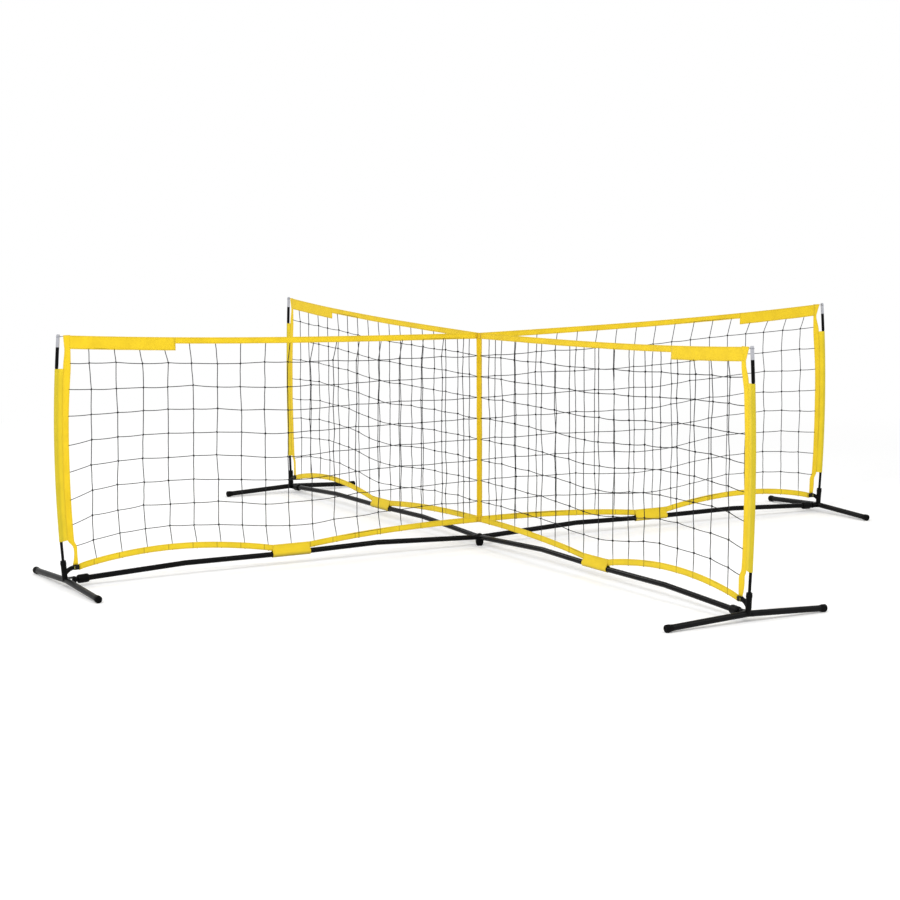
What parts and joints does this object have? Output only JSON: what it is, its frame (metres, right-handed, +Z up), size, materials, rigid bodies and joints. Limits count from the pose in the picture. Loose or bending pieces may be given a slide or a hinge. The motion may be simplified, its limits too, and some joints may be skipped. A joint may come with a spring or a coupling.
{
  "type": "four-way play net on poles",
  "caption": "Low cross-shaped net with taped edges on bowed poles, over a tubular cross base whose T feet fold flat.",
  "frame": {"origin": "on the ground at the centre of the cross", "axes": "+Z up; the four arms lie along -X (west), -Y (south), +Y (north) and +X (east)"},
  "size_m": [3.6438, 3.6438, 0.9455],
  "materials": {
    "moulded_black": "satin moulded",
    "rubber_black": "matte",
    "tube_black": "satin powder coat",
    "bar_grey": "satin powder coat",
    "rod_black": "glossy glass-fibre rod",
    "bright_tip": "polished",
    "pin_steel": "satin",
    "yellow_webbing": "woven",
    "yellow_cloth": "woven",
    "net_cord": "twisted cord",
    "strap_black": "woven"
  },
  "bodies": {
    "base": {"hub": "moulded_black", "hub_foot": "rubber_black", "base_tubes_inner": "tube_black", "base_tubes_middle": "tube_black", "base_tubes_outer": "tube_black", "tube_tabs": "yellow_cloth", "centre_tape": "yellow_webbing", "end_fitting_west": "moulded_black", "net_west": "net_cord", "top_band_west": "yellow_webbing", "bottom_tape_west": "yellow_webbing", "side_band_west": "yellow_webbing", "end_fitting_south": "moulded_black", "net_south": "net_cord", "top_band_south": "yellow_webbing", "bottom_tape_south": "yellow_webbing", "side_band_south": "yellow_webbing", "end_fitting_north": "moulded_black", "net_north": "net_cord", "top_band_north": "yellow_webbing", "bottom_tape_north": "yellow_webbing", "side_band_north": "yellow_webbing", "end_fitting_east": "moulded_black", "net_east": "net_cord", "top_band_east": "yellow_webbing", "bottom_tape_east": "yellow_webbing", "side_band_east": "yellow_webbing"},
    "foot_west": {"foot_tee_west": "moulded_black", "foot_bar_west": "bar_grey", "foot_caps_west": "rubber_black", "fold_pin_west": "pin_steel", "pole_west": "rod_black", "pole_tip_west": "bright_tip", "pole_sleeve_west": "yellow_cloth", "corner_strap_west": "strap_black"},
    "foot_south": {"foot_tee_south": "moulded_black", "foot_bar_south": "bar_grey", "foot_caps_south": "rubber_black", "fold_pin_south": "pin_steel", "pole_south": "rod_black", "pole_tip_south": "bright_tip", "pole_sleeve_south": "yellow_cloth", "corner_strap_south": "strap_black"},
    "foot_north": {"foot_tee_north": "moulded_black", "foot_bar_north": "bar_grey", "foot_caps_north": "rubber_black", "fold_pin_north": "pin_steel", "pole_north": "rod_black", "pole_tip_north": "bright_tip", "pole_sleeve_north": "yellow_cloth", "corner_strap_north": "strap_black"},
    "foot_east": {"foot_tee_east": "moulded_black", "foot_bar_east": "bar_grey", "foot_caps_east": "rubber_black", "fold_pin_east": "pin_steel", "pole_east": "rod_black", "pole_tip_east": "bright_tip", "pole_sleeve_east": "yellow_cloth", "corner_strap_east": "strap_black"}
  },
  "joints": [
    {"name": "fold_west", "type": "hinge", "parent": "base", "child": "foot_west", "pos_m": [-1.759, 0, 0.0285], "axis": [0, 0, 1], "range_deg": [0, 90], "deforming": ["side_band_west"]},
    {"name": "fold_south", "type": "hinge", "parent": "base", "child": "foot_south", "pos_m": [0, -1.759, 0.0285], "axis": [0, 0, 1], "range_deg": [0, 90], "deforming": ["side_band_south"]},
    {"name": "fold_north", "type": "hinge", "parent": "base", "child": "foot_north", "pos_m": [0, 1.759, 0.0285], "axis": [0, 0, 1], "range_deg": [0, 90], "deforming": ["side_band_north"]},
    {"name": "fold_east", "type": "hinge", "parent": "base", "child": "foot_east", "pos_m": [1.759, 0, 0.0285], "axis": [0, 0, 1], "range_deg": [0, 90], "deforming": ["side_band_east"]}
  ]
}
